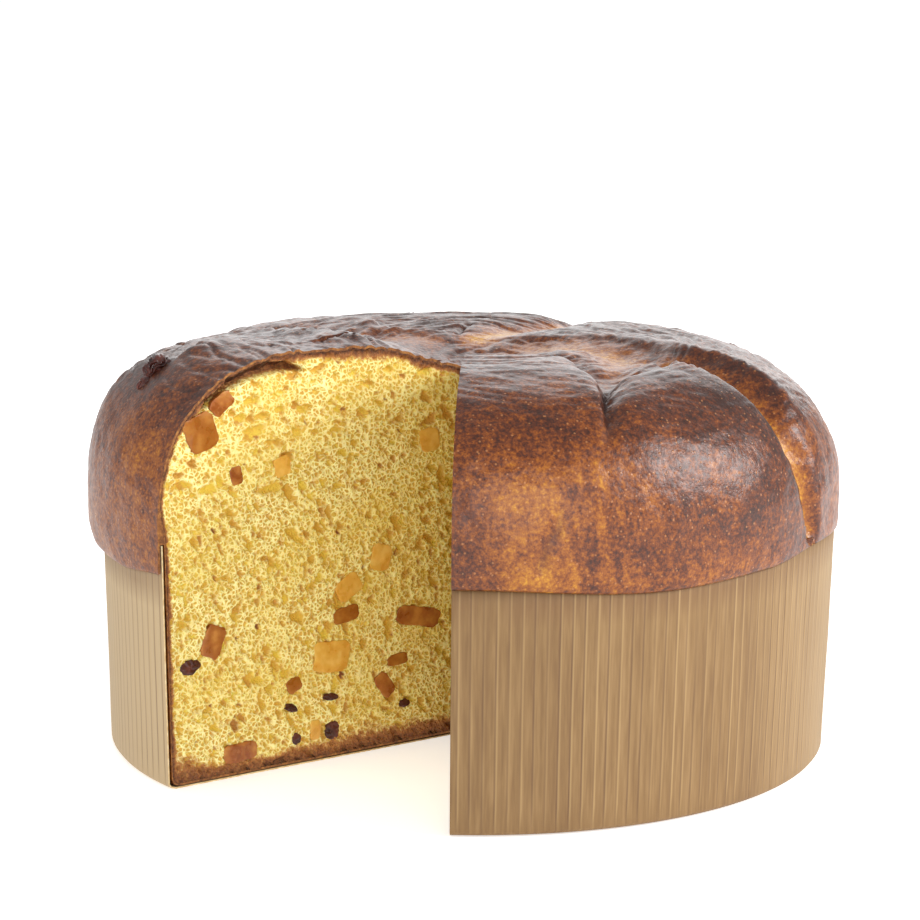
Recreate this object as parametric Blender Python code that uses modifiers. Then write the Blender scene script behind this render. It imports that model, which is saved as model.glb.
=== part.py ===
"""A low panettone in its pleated paper case, with one slice cut out of it.

The loaf is one solid: a straight-sided body that fills the case, and a crust dome that has risen over the
rim and hangs outside it as a lip. Scored flaps leave valleys that run out from a hollow in the middle of the dome.
Each piece of candied fruit and each raisin that shows is a solid of its own, in a pocket of the loaf.

Metres, +Z up. The origin is the centre of the case's underside. Azimuths are in degrees from +X towards +Y,
so the missing slice opens towards -Y.
"""

import math
import random

import bmesh
import bpy
from mathutils import Matrix, Vector

MM = 0.001

# Paper case
CASE_RADIUS = 105 * MM  # outside of the pleats, at the base
CASE_FLARE = 2 * MM  # how much wider the case is at its rim
CASE_HEIGHT = 70 * MM
PAPER = 0.5 * MM
PLEATS = 192
PLEAT_DEPTH = 0.5 * MM

# Loaf
GAP = 0.3 * MM  # between any two pieces that touch
CROWN_HEIGHT = 120 * MM
CROWN_RADIUS = 60 * MM  # where the dome starts to fall towards its side
CROWN_DIP = 9.7 * MM  # hollow where the scored flaps meet
CROWN_DIP_RADIUS = 24 * MM
BULGE_ABOVE_FOOT = 13 * MM  # from the lip's lowest point to the dome's widest one
DOME_COLUMNS = 80  # 4.5 degrees each, so that the four valleys fall on columns
CROWN_STATIONS = 9
SHOULDER_STATIONS = 8
LIP_STATIONS = 3
FLATTENED_RADIUS = 137 * MM  # from the dome's centre to its foot, along the crust

# Dome by azimuth: (azimuth, widest radius, lip's lowest point, squareness of the shoulder, how far the crown falls)
DOME_ROUND = [
    (0, 107.4 * MM, 67 * MM, 2.05, 3.0 * MM),
    (30, 108.6 * MM, 65 * MM, 2.2, 4.0 * MM),
    (63, 107.8 * MM, 68 * MM, 2.1, 5.0 * MM),
    (95, 110.0 * MM, 65 * MM, 2.4, 5.0 * MM),
    (125, 110.4 * MM, 64 * MM, 2.5, 5.0 * MM),
    (153, 109.2 * MM, 66 * MM, 2.4, 4.5 * MM),
    (186, 111.2 * MM, 60 * MM, 2.8, 2.5 * MM),
    (205, 110.4 * MM, 60 * MM, 2.5, 0.5 * MM),
    (218, 108.4 * MM, 62 * MM, 2.3, 0 * MM),
    (243, 108.6 * MM, 67 * MM, 2.2, 0 * MM),
    (270, 109.8 * MM, 68.5 * MM, 2.3, 0 * MM),
    (300, 109.4 * MM, 65.5 * MM, 2.5, 0 * MM),
    (320, 109.6 * MM, 66.5 * MM, 2.4, 0.5 * MM),
    (333, 108.0 * MM, 68.5 * MM, 2.2, 1.5 * MM),
]

# Valleys between the flaps, on the crust flattened out like a map: (x, y, half width, depth)
VALLEYS = [
    [  # to the right, between the front flap and the back one
        (22 * MM, 8 * MM, 11 * MM, 1 * MM),
        (42 * MM, -14 * MM, 11 * MM, 4 * MM),
        (60 * MM, -29 * MM, 7 * MM, 5 * MM),
        (100 * MM, -51 * MM, 5 * MM, 4 * MM),
        (120 * MM, -61 * MM, 4 * MM, 1.5 * MM),
    ],
    [  # the pinch in the front flap's rim
        (38 * MM, -22 * MM, 9 * MM, 3 * MM),
        (35 * MM, -58 * MM, 5 * MM, 4 * MM),
        (34 * MM, -86 * MM, 2 * MM, 0.5 * MM),
    ],
    [  # backwards
        (4 * MM, 22 * MM, 10 * MM, 1 * MM),
        (20 * MM, 42 * MM, 8 * MM, 3 * MM),
        (46 * MM, 90 * MM, 5 * MM, 4 * MM),
        (60 * MM, 118 * MM, 4 * MM, 1.5 * MM),
    ],
    [  # to the left
        (-12 * MM, 16 * MM, 8 * MM, 1 * MM),
        (-36 * MM, 18 * MM, 6 * MM, 3 * MM),
        (-90 * MM, 46 * MM, 5 * MM, 4 * MM),
        (-120 * MM, 60 * MM, 4 * MM, 1.5 * MM),
    ],
]

# Missing slice
APEX = Vector((0, -2 * MM, 0))
CUTS = {"left": 216.9, "right": 267.5}  # azimuth of each cut face, seen from the apex

# Fruit that the knife went through: (face, kind, from the apex, height, width, tall, turn in degrees)
CUT_FRUIT = [
    ("left", "orange", 92.3, 100.2, 10.5, 11, 20),
    ("left", "peel", 85.6, 107.8, 8, 5, 35),
    ("left", "peel", 80.9, 86.9, 4, 5, 10),
    ("left", "citron", 65.4, 87.9, 5.5, 6, 10),
    ("left", "citron", 14.3, 90, 7, 7, 5),
    ("left", "citron", 31.3, 57.2, 7, 8, -15),
    ("left", "citron", 42.7, 50, 9, 6.5, 30),
    ("left", "citron", 48.3, 30.3, 13, 10, -8),
    ("left", "orange", 43.5, 42, 9.5, 4.6, 10),
    ("left", "peel", 18, 38, 17, 6, -12),
    ("left", "peel", 88.8, 40.4, 7, 9.5, -20),
    ("left", "raisin", 96.4, 34.2, 7.5, 5, 15),
    ("left", "peel", 79.8, 6.9, 11, 5.6, 3),
    ("left", "raisin", 48.2, 8.4, 5.5, 6.5, -15),
    ("left", "peel", 29.7, 19, 5, 8, 35),
    ("left", "orange", 25.2, 26, 7, 3.2, 5),
    ("left", "raisin", 48.8, 18.4, 7, 2.4, -6),
    ("left", "raisin", 62.6, 17.3, 5.5, 2.6, -20),
    ("left", "raisin", 22.6, 12.4, 4.5, 2.6, 0),
    ("left", "citron", 54.2, 9.4, 3.6, 6, 0),
    ("left", "raisin", 60.8, 7.8, 3.4, 3.6, 0),
    ("left", "orange", 61.6, 23.8, 5, 4.2, 20),
    ("right", "orange", 84, 95, 12, 9, 25),
    ("right", "citron", 62, 78, 9, 10, -10),
    ("right", "peel", 30, 95, 11, 7, 40),
    ("right", "raisin", 49, 103, 8, 5.5, 10),
    ("right", "citron", 22, 62, 8, 9, 0),
    ("right", "orange", 74, 44, 13, 10, -20),
    ("right", "raisin", 91, 62, 8, 6, 60),
    ("right", "peel", 43, 35, 12, 7, 15),
    ("right", "raisin", 27, 19, 8, 6, -30),
    ("right", "citron", 62, 18, 12, 7, 5),
    ("right", "orange", 86, 14, 10, 8, 35),
    ("right", "raisin", 52, 56, 8, 4.5, 75),
]

# Whole raisins sunk in the crust: (azimuth, radius, length, width, turn, how far it stands proud)
CRUST_RAISINS = [
    (195.2, 91.5, 13, 9.5, 55, 3.2),
    (198.6, 97.0, 6, 4.5, 20, 1.4),
    (135, 19, 10, 6, 10, 1.2),
    (104, 78, 11, 8, -30, 2.4),
    (22, 84, 10, 7.5, 70, 2.2),
]

# Slit where the crust has lifted off the crumb, on the left face: (from the apex, height, half thickness)
CRUST_SLIT = [
    (88.5, 109.8, 0.3),
    (83, 112.7, 0.7),
    (77, 115.2, 1.0),
    (70, 116.5, 1.2),
    (63.5, 116.5, 0.9),
    (58.5, 115.0, 0.3),
]
SLIT_DEPTH = 7 * MM

# name: (base colour, roughness)
FINISHES = {
    "crust_and_crumb": ((0.36, 0.14, 0.045), 0.5),
    "case_paper": ((0.46, 0.28, 0.13), 0.75),
    "candied_orange": ((0.48, 0.16, 0.03), 0.25),
    "candied_citron": ((0.55, 0.32, 0.06), 0.25),
    "candied_peel": ((0.36, 0.11, 0.03), 0.3),
    "raisin_skin": ((0.08, 0.022, 0.014), 0.35),
}
FRUIT_FINISH = {"orange": "candied_orange", "citron": "candied_citron", "peel": "candied_peel", "raisin": "raisin_skin"}


def finish(name):
    """The Principled material of that name, made the first time it is asked for."""
    material = bpy.data.materials.get(name)
    if material is None:
        material = bpy.data.materials.new(name)
        material.use_nodes = True
        colour, roughness = FINISHES[name]
        shader = material.node_tree.nodes["Principled BSDF"]
        shader.inputs["Base Color"].default_value = (*colour, 1)
        shader.inputs["Roughness"].default_value = roughness
        shader.inputs["Metallic"].default_value = 0
    return material


def object_of(mesh_builder, name, collection, finish_name=None):
    """Turns a finished bmesh into a named object in a collection."""
    mesh = bpy.data.meshes.new(name)
    mesh_builder.to_mesh(mesh)
    mesh_builder.free()
    made = bpy.data.objects.new(name, mesh)
    collection.objects.link(made)
    if finish_name:
        mesh.materials.append(finish(finish_name))
    else:
        made.hide_render = True
        made.display_type = "WIRE"
    return made


def point_outwards(build):
    """Turns the faces to point out of the shape."""
    build.normal_update()
    bmesh.ops.recalc_face_normals(build, faces=build.faces)


def smooth(share):
    return share * share * (3 - 2 * share)


def dome_round(azimuth):
    """(widest radius, lip's lowest point, squareness, fall) at an azimuth, eased between DOME_ROUND's rows."""
    azimuth %= 360
    rows = DOME_ROUND + [(DOME_ROUND[0][0] + 360, *DOME_ROUND[0][1:])]
    for before, after in zip(rows, rows[1:]):
        if before[0] <= azimuth <= after[0]:
            share = smooth((azimuth - before[0]) / (after[0] - before[0]))
            return [a + (b - a) * share for a, b in zip(before[1:], after[1:])]
    raise ValueError("DOME_ROUND has to start at azimuth 0")


def valley_depth(x, y):
    """How far the crust dips at a point of its flattened map, below the dome without its valleys."""
    deepest = 0
    for path in VALLEYS:
        for start, end in zip(path, path[1:]):
            along = Vector(end[:2]) - Vector(start[:2])
            share = (Vector((x, y)) - Vector(start[:2])).dot(along) / along.length_squared
            share = min(1, max(0, share))
            nearest = Vector(start[:2]) + along * share
            half_width = start[2] + (end[2] - start[2]) * share
            depth = start[3] + (end[3] - start[3]) * share
            distance = (Vector((x, y)) - nearest).length
            deepest = max(deepest, depth * math.exp(-((distance / half_width) ** 2)))
    return deepest


def dome_section(azimuth):
    """The crust's outline at an azimuth as (radius, height), from beside the dome's centre to the lip's lowest point."""
    widest, foot, squareness, fall = dome_round(azimuth)
    bulge = foot + BULGE_ABOVE_FOOT
    inner_foot = case_radius_at(foot) + GAP + 0.8 * MM
    points = []
    for i in range(1, CROWN_STATIONS + 1):
        radius = CROWN_RADIUS * i / CROWN_STATIONS
        sunk = fall * smooth(radius / CROWN_RADIUS) + CROWN_DIP * math.exp(-((radius / CROWN_DIP_RADIUS) ** 2))
        points.append((radius, CROWN_HEIGHT - sunk))
    for i in range(1, SHOULDER_STATIONS + 1):
        turn = math.pi / 2 * i / SHOULDER_STATIONS
        radius = CROWN_RADIUS + (widest - CROWN_RADIUS) * math.sin(turn) ** (2 / squareness)
        points.append((radius, bulge + (CROWN_HEIGHT - fall - bulge) * max(0, math.cos(turn)) ** (2 / squareness)))
    for i in range(1, LIP_STATIONS + 1):
        turn = math.pi / 2 * i / LIP_STATIONS
        points.append((inner_foot + (widest - inner_foot) * math.cos(turn), bulge - BULGE_ABOVE_FOOT * math.sin(turn)))
    return points


def with_valleys(points, azimuth):
    """Presses the valleys into a section, square to it."""
    run, pressed = 0, []
    direction = Vector((math.cos(math.radians(azimuth)), math.sin(math.radians(azimuth))))
    for i, (radius, height) in enumerate(points):
        before = points[i - 1] if i else (0, CROWN_HEIGHT - CROWN_DIP)
        after = points[min(i + 1, len(points) - 1)]
        run += math.dist(before, (radius, height))
        tangent = Vector((after[0] - before[0], after[1] - before[1])).normalized()
        on_map = direction * min(run, FLATTENED_RADIUS)
        depth = valley_depth(*on_map) * smooth(min(1, (len(points) - 1 - i) / 3))
        pressed.append((radius + tangent.y * depth, height - tangent.x * depth))
    return pressed


def case_radius_at(height):
    return CASE_RADIUS + CASE_FLARE * height / CASE_HEIGHT


def loaf_section(azimuth):
    """The loaf's whole outline at an azimuth, from beside the dome's centre to beside the middle of its underside."""
    clear = PLEAT_DEPTH + PAPER + GAP
    slot_top = CASE_HEIGHT + GAP
    foot = dome_round(azimuth)[1]
    base = PAPER + GAP
    bottom_round = 2 * MM
    return with_valleys(dome_section(azimuth), azimuth) + [
        (case_radius_at(foot) + GAP, foot + 0.6 * MM),
        (case_radius_at(slot_top) + GAP, slot_top),
        (case_radius_at(slot_top) - clear, slot_top),
        (case_radius_at(base + bottom_round) - clear, base + bottom_round),
        (case_radius_at(base) - clear - bottom_round, base),
    ]


def loaf_body():
    """The whole loaf before it is cut: one section spun round, then each column set to its own section."""
    build = bmesh.new()
    station = build.verts.layers.int.new("station")
    sections = [loaf_section(360 * i / DOME_COLUMNS) for i in range(DOME_COLUMNS)]
    line = []
    for i, (radius, height) in enumerate(sections[0]):
        line.append(build.verts.new((radius, 0, height)))
        line[-1][station] = i
    edges = [build.edges.new(pair) for pair in zip(line, line[1:])]
    bmesh.ops.spin(
        build, geom=line + edges, cent=(0, 0, 0), axis=(0, 0, 1), angle=math.tau, steps=DOME_COLUMNS, use_merge=True
    )
    bmesh.ops.remove_doubles(build, verts=build.verts, dist=0.01 * MM)
    for vert in build.verts:
        column = round(math.atan2(vert.co.y, vert.co.x) / math.tau * DOME_COLUMNS) % DOME_COLUMNS
        radius, height = sections[column][vert[station]]
        turn = math.tau * column / DOME_COLUMNS
        vert.co = (radius * math.cos(turn), radius * math.sin(turn), height)
    middle_height = CROWN_HEIGHT - CROWN_DIP
    for edge_height, middle in ((middle_height, middle_height), (0, PAPER + GAP)):
        ring = [e for e in build.edges if e.is_boundary and (e.verts[0].co.z > CASE_HEIGHT) == (edge_height > 0)]
        centre = build.verts.new((0, 0, middle))
        for edge in ring:
            build.faces.new((*edge.verts, centre))
    point_outwards(build)
    return build


def slice_wedge():
    """A prism over the missing slice, well past the loaf on every side."""
    build = bmesh.new()
    reach, low, high = 200 * MM, -20 * MM, 160 * MM
    corners = [APEX]
    for azimuth in (CUTS["left"], (CUTS["left"] + CUTS["right"]) / 2, CUTS["right"]):
        turn = math.radians(azimuth)
        corners.append(APEX + reach * Vector((math.cos(turn), math.sin(turn), 0)))
    face = build.faces.new([build.verts.new(corner + Vector((0, 0, low))) for corner in corners])
    raised = bmesh.ops.extrude_face_region(build, geom=[face])["geom"]
    tops = [item for item in raised if isinstance(item, bmesh.types.BMVert)]
    bmesh.ops.translate(build, verts=tops, vec=(0, 0, high - low))
    point_outwards(build)
    return build


def on_cut_face(face):
    """Places a piece modelled with X away from the apex, Z up and Y out of the crumb, on a cut face."""
    turn = math.radians(CUTS[face])
    away = Vector((math.cos(turn), math.sin(turn), 0))
    out = Vector((-away.y, away.x, 0)) if face == "left" else Vector((away.y, -away.x, 0))
    basis = Matrix((away, out, Vector((0, 0, 1)))).transposed().to_4x4()
    return Matrix.Translation(APEX) @ basis


def place(build, placing):
    """Moves a closed bmesh and points its faces outwards, since the right face's placing mirrors it."""
    build.transform(placing)
    point_outwards(build)


def fruit_lump(kind, width, tall, turn, seed):
    """A lump of fruit, its middle a little behind the origin: a bevelled cube if candied, a dented ball if a raisin."""
    build, chance = bmesh.new(), random.Random(seed)
    if kind == "raisin":
        bmesh.ops.create_icosphere(build, subdivisions=1, radius=0.5)
    else:
        bmesh.ops.create_cube(build, size=0.92)
        bmesh.ops.bevel(
            build, geom=build.edges, offset=0.14, segments=1, profile=0.5, affect="EDGES", material=-1
        )
    bmesh.ops.triangulate(build, faces=build.faces)  # so that a lump and its pocket have the same facets
    for vert in build.verts:
        vert.co *= 1 + chance.uniform(-0.07, 0.07)
    through = 0.9 * math.sqrt(width * tall)
    bmesh.ops.scale(build, verts=build.verts, vec=Vector((width, through, tall)) * MM)
    bmesh.ops.rotate(build, verts=build.verts, matrix=Matrix.Rotation(math.radians(turn), 3, "Y"))
    bmesh.ops.translate(build, verts=build.verts, vec=(0, -0.09 * through * MM, 0))
    point_outwards(build)
    return build


def grown(build, by):
    """A copy of a lump whose every side stands that much further out."""
    copy = build.copy()
    copy.normal_update()
    shifts = [vert.normal * by * vert.calc_shell_factor() for vert in copy.verts]
    for vert, shift in zip(copy.verts, shifts):
        vert.co += shift
    return copy


def cut_flush(build):
    """Takes away what stands out of the cut face, and closes the lump there."""
    geometry = build.verts[:] + build.edges[:] + build.faces[:]
    cut = bmesh.ops.bisect_plane(build, geom=geometry, dist=1e-7, plane_co=(0, 0, 0), plane_no=(0, 1, 0), clear_outer=True)
    rim = [item for item in cut["geom_cut"] if isinstance(item, bmesh.types.BMEdge)]
    bmesh.ops.contextual_create(build, geom=rim)
    point_outwards(build)


def add_cut_fruit(parts, cutters):
    """The fruit on the two cut faces, each with the cutter of its pocket."""
    counts = {}
    for seed, (face, kind, away, height, width, tall, turn) in enumerate(CUT_FRUIT):
        counts[kind] = counts.get(kind, 0) + 1
        lump = fruit_lump(kind, width, tall, turn, seed)
        pocket = grown(lump, GAP)
        cut_flush(lump)
        placing = on_cut_face(face) @ Matrix.Translation((away * MM, 0, height * MM))
        place(lump, placing)
        place(pocket, placing)
        name = f"{'raisin' if kind == 'raisin' else 'candied_' + kind}_{counts[kind]:02d}"
        object_of(lump, name, parts, FRUIT_FINISH[kind])
        object_of(pocket, f"pocket_{name}", cutters)


def crust_height_at(azimuth, radius):
    """(height, outward slope) of the dome's crust at a radius inside its widest one."""
    points = [(0, CROWN_HEIGHT - CROWN_DIP)] + with_valleys(dome_section(azimuth), azimuth)
    for low, high in zip(points, points[1:]):
        if low[0] <= radius <= high[0]:
            share = (radius - low[0]) / (high[0] - low[0])
            return low[1] + (high[1] - low[1]) * share, (high[1] - low[1]) / (high[0] - low[0])
    raise ValueError("that radius is past the dome")


def add_crust_raisins(parts, cutters):
    """Raisins sunk in the crust, lying along it."""
    for i, (azimuth, radius, length, width, turn, proud) in enumerate(CRUST_RAISINS):
        height, slope = crust_height_at(azimuth, radius * MM)
        thick = 0.8 * width
        lump = fruit_lump("raisin", length, thick, 0, 100 + i)
        bmesh.ops.scale(lump, verts=lump.verts, vec=(1, width / (0.9 * math.sqrt(length * thick)), 1))
        pocket = grown(lump, GAP)
        placing = (
            Matrix.Rotation(math.radians(azimuth), 4, "Z")
            @ Matrix.Translation((radius * MM, 0, height))
            @ Matrix.Rotation(-math.atan(slope), 4, "Y")
            @ Matrix.Translation((0, 0, (proud - thick / 2) * MM))
            @ Matrix.Rotation(math.radians(turn), 4, "Z")
        )
        place(lump, placing)
        place(pocket, placing)
        name = f"crust_raisin_{i + 1:02d}"
        object_of(lump, name, parts, "raisin_skin")
        object_of(pocket, f"pocket_{name}", cutters)


def crust_slit():
    """The slit under the lifted crust: its outline on the left face, extruded into the loaf."""
    build = bmesh.new()
    upper = [(away, height + half) for away, height, half in CRUST_SLIT]
    lower = [(away, height - half) for away, height, half in reversed(CRUST_SLIT)]
    proud = 2 * MM
    outline = [build.verts.new((away * MM, proud, height * MM)) for away, height in upper + lower]
    face = build.faces.new(outline)
    sunk = bmesh.ops.extrude_face_region(build, geom=[face])["geom"]
    ends = [item for item in sunk if isinstance(item, bmesh.types.BMVert)]
    bmesh.ops.translate(build, verts=ends, vec=(0, -SLIT_DEPTH - proud, 0))
    place(build, on_cut_face("left"))
    return build


def paper_case():
    """The case's floor and pleated wall as one open sheet, a ridge and a groove for each pleat."""
    build = bmesh.new()
    columns = 2 * PLEATS
    line = [
        build.verts.new((CASE_RADIUS, 0, 0)),
        build.verts.new((CASE_RADIUS + CASE_FLARE, 0, CASE_HEIGHT)),
    ]
    edge = build.edges.new(line)
    bmesh.ops.spin(
        build, geom=line + [edge], cent=(0, 0, 0), axis=(0, 0, 1), angle=math.tau, steps=columns, use_merge=True
    )
    bmesh.ops.remove_doubles(build, verts=build.verts, dist=0.01 * MM)
    for vert in build.verts:
        column = round(math.atan2(vert.co.y, vert.co.x) / math.tau * columns)
        if column % 2:
            radius = vert.co.xy.length
            vert.co.xy *= (radius - PLEAT_DEPTH) / radius
    foot = [e for e in build.edges if e.is_boundary and e.verts[0].co.z < CASE_HEIGHT / 2]
    bmesh.ops.contextual_create(build, geom=foot)
    point_outwards(build)
    return build


def cut_away(target, name, **operand):
    cut = target.modifiers.new(name, "BOOLEAN")
    cut.operation = "DIFFERENCE"
    for key, value in operand.items():
        setattr(cut, key, value)


def main():
    for old in list(bpy.data.objects):
        bpy.data.objects.remove(old)
    scene = bpy.context.scene.collection
    parts, cutters, pockets = (bpy.data.collections.new(n) for n in ("panettone", "cutters", "pockets"))
    for collection in (parts, cutters, pockets):
        scene.children.link(collection)

    wedge = object_of(slice_wedge(), "slice_wedge", cutters)
    slit = object_of(crust_slit(), "slit_under_crust", cutters)
    loaf = object_of(loaf_body(), "loaf", parts, "crust_and_crumb")
    add_cut_fruit(parts, pockets)
    add_crust_raisins(parts, pockets)
    cut_away(loaf, "Slice", object=wedge)
    cut_away(loaf, "Slit", object=slit)
    cut_away(loaf, "Pockets", operand_type="COLLECTION", collection=pockets)

    case = object_of(paper_case(), "paper_case", parts, "case_paper")
    thickness = case.modifiers.new("Paper", "SOLIDIFY")
    thickness.thickness = PAPER
    thickness.offset = -1
    cut_away(case, "Slice", object=wedge)


main()
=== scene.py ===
import math

import bmesh
import bpy
import numpy as np
from mathutils import Matrix, Vector


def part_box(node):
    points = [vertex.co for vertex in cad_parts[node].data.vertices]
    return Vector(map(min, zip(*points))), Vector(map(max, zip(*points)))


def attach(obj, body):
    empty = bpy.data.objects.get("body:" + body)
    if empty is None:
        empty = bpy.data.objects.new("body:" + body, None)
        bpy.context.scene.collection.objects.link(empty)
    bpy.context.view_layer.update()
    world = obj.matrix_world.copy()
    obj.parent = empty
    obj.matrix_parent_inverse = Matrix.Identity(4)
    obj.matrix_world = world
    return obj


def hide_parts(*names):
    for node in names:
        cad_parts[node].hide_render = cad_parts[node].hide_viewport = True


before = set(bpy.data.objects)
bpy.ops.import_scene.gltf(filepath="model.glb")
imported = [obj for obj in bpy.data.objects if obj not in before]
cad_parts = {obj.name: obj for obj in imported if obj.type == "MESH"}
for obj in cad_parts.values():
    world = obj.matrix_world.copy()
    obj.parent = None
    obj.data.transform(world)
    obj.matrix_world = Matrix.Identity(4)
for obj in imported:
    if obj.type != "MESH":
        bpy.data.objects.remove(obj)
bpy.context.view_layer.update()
print("frame loaded")

mm = 0.001  # all shapes below are worked out in millimetres

# ---- the shape that the loaf, its crust and its case share

loaf = {
    "apex": (0.0, -2.0),  # where the two cut faces meet, seen from above
    "cuts": {"right": -92.5, "left": 216.9},  # azimuth of each cut face from the apex
    "crownHeight": 120.0,
    "crownRadius": 60.0,
    "crownDip": 9.7,  # hollow in the middle, where the scored flaps meet
    "dipRadius": 24.0,
    "bulge": 13.0,  # from the lip's lowest point up to the widest one
    "rimReach": 139.0,  # from the middle to the lip's lowest point, along the crust
    # azimuth, widest radius, lip's lowest point, squareness of the shoulder, how far the crown falls there
    "round": [
        (0, 107.4, 67, 2.05, 3.0),
        (30, 108.6, 65, 2.2, 4.0),
        (63, 107.8, 68, 2.1, 5.0),
        (95, 110.0, 65, 2.4, 5.0),
        (125, 110.4, 64, 2.5, 5.0),
        (153, 109.2, 66, 2.4, 4.5),
        (186, 111.2, 60, 2.8, 2.5),
        (205, 110.4, 60, 2.5, 0.5),
        (218, 108.4, 62, 2.3, 0.0),
        (243, 108.6, 67, 2.2, 0.0),
        (270, 109.8, 68.5, 2.3, 0.0),
        (300, 109.4, 65.5, 2.5, 0.0),
        (320, 109.6, 66.5, 2.4, 0.5),
        (333, 108.0, 68.5, 2.2, 1.5),
    ],
}

case = {
    "radius": 105.0,
    "flare": 2.0,
    "height": 70.0,
    "paper": 0.45,
    "pleats": 192,
    "pleatDepth": 0.35,
    "samples": 8,  # mesh columns for each pleat
    "rows": 12,
}


def easeStep(share):
    share = np.clip(share, 0, 1)
    return share * share * (3 - 2 * share)


def bell(distance, width):
    return np.exp(-((distance / width) ** 2))


def easedRound(azimuth):
    # the loaf's row of numbers at each azimuth, eased from one named azimuth to the next
    rows = loaf["round"]
    table = np.array(rows + [(rows[0][0] + 360, *rows[0][1:])], float)
    azimuth = np.mod(azimuth, 360)
    after = np.clip(np.searchsorted(table[:, 0], azimuth, side="right"), 1, len(table) - 1)
    share = easeStep((azimuth - table[after - 1, 0]) / (table[after, 0] - table[after - 1, 0]))
    return [table[after - 1, i] * (1 - share) + table[after, i] * share for i in range(1, 5)]


def caseRadius(height):
    return case["radius"] + case["flare"] * height / case["height"]


def domeProfile(part, azimuth):
    # radius and height of the smooth dome; part runs 0-1 over the crown, 1-2 down the shoulder, 2-3 under the lip
    widest, foot, square, fall = easedRound(azimuth)
    crown, high = loaf["crownRadius"], loaf["crownHeight"]
    widestHeight = foot + loaf["bulge"]
    innerFoot = caseRadius(foot) + 0.9
    r0 = crown * np.clip(part, 0, 1)
    z0 = high - fall * easeStep(part) - loaf["crownDip"] * bell(r0, loaf["dipRadius"])
    turn = np.pi / 2 * np.clip(part - 1, 0, 1)
    r1 = crown + (widest - crown) * np.sin(turn) ** (2 / square)
    z1 = widestHeight + (high - fall - widestHeight) * np.clip(np.cos(turn), 0, 1) ** (2 / square)
    turn = np.pi / 2 * np.clip(part - 2, 0, 1)
    r2 = innerFoot + (widest - innerFoot) * np.cos(turn)
    z2 = widestHeight - loaf["bulge"] * np.sin(turn)
    radius = np.where(part <= 1, r0, np.where(part <= 2, r1, r2))
    height = np.where(part <= 1, z0, np.where(part <= 2, z1, z2))
    return radius, height


def evenParts(count):
    # stations an even distance apart along the crust, and their distances from the middle
    part = np.linspace(0, 3, 3001)
    radius, height = domeProfile(part, np.full_like(part, 290.0))
    run = np.concatenate([[0], np.cumsum(np.hypot(np.diff(radius), np.diff(height)))])
    wanted = 2.4 + (run[-1] - 2.4) * np.linspace(0, 1, count) ** 0.93
    return np.interp(wanted, run, part), wanted * loaf["rimReach"] / run[-1]


def fromApex(direction, radius):
    # the point at that distance from the axis on a line from the apex, so that end columns lie in the cut planes
    ax, ay = loaf["apex"]
    dx, dy = np.cos(np.radians(direction)), np.sin(np.radians(direction))
    along = ax * dx + ay * dy
    reach = -along + np.sqrt(np.maximum(along**2 - ax**2 - ay**2 + radius**2, 0))
    return ax + reach * dx, ay + reach * dy


# ---- noise and folds

def cellValue(ix, iy, seed):
    # a repeatable random number from 0 to 1 for each square of a lattice
    n = (ix * 374761393 + iy * 668265263 + seed * 974634777) & 0xFFFFFFFF
    n = ((n ^ (n >> 13)) * 1274126177) & 0xFFFFFFFF
    return ((n ^ (n >> 16)) & 0xFFFFFF) / 0xFFFFFF


def softNoise(x, y, size, seed):
    # from -1 to 1, in soft lumps about one size across
    gx, gy = x / size, y / size
    ix, iy = np.floor(gx).astype(np.int64), np.floor(gy).astype(np.int64)
    fx, fy = easeStep(gx - ix), easeStep(gy - iy)
    low = cellValue(ix, iy, seed) * (1 - fx) + cellValue(ix + 1, iy, seed) * fx
    high = cellValue(ix, iy + 1, seed) * (1 - fx) + cellValue(ix + 1, iy + 1, seed) * fx
    return 2 * (low * (1 - fy) + high * fy) - 1


def layeredNoise(x, y, size, seed, layers=3):
    total = sum(softNoise(x, y, size / 2.1**i, seed + i) / 2**i for i in range(layers))
    return total / (2 - 2 / 2**layers)


def alongPath(x, y, path):
    # distance from a path, side of it, and the path's own numbers at the nearest place
    best = np.full(x.shape, 1e9)
    side = np.zeros(x.shape)
    values = np.zeros((len(path[0]) - 2,) + x.shape)
    for start, end in zip(path, path[1:]):
        ex, ey = end[0] - start[0], end[1] - start[1]
        share = np.clip(((x - start[0]) * ex + (y - start[1]) * ey) / (ex * ex + ey * ey), 0, 1)
        px, py = x - start[0] - share * ex, y - start[1] - share * ey
        distance = np.hypot(px, py)
        closer = distance < best
        best = np.where(closer, distance, best)
        side = np.where(closer, np.sign(ex * py - ey * px), side)
        for i in range(len(values)):
            values[i] = np.where(closer, start[2 + i] * (1 - share) + end[2 + i] * share, values[i])
    return best, side, values


# ---- crust

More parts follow.
